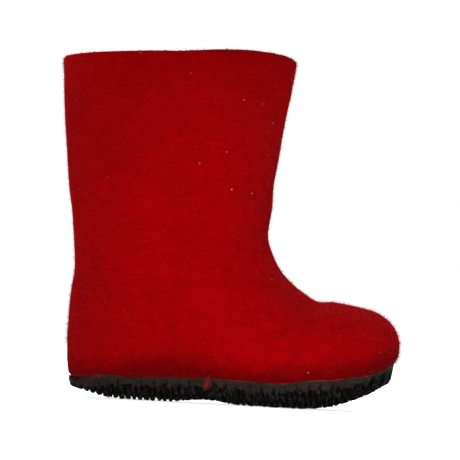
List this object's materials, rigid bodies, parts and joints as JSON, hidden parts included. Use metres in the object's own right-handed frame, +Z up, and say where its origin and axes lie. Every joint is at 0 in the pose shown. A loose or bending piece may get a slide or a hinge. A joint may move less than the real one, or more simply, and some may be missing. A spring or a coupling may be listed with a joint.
{
  "type": "felt winter boot",
  "caption": "Child's pull-on winter boot for the right foot: a seamless hollow red felt upper with a tall shaft and round toe, an insole and a moulded rubber outsole with rows of lugs.",
  "frame": {"origin": "middle of the boot's footprint box, on the floor plane", "axes": "+X from heel to toe, +Y to the wearer's left (the inner side of this right boot), +Z up from the floor"},
  "size_m": [0.2012, 0.0954, 0.2029],
  "materials": {
    "red_felt": "matte",
    "grey_felt": "matte",
    "black_rubber": "matte"
  },
  "bodies": {
    "root": {"felt_upper": "red_felt", "insole": "grey_felt", "outsole": "black_rubber"}
  },
  "joints": []
}
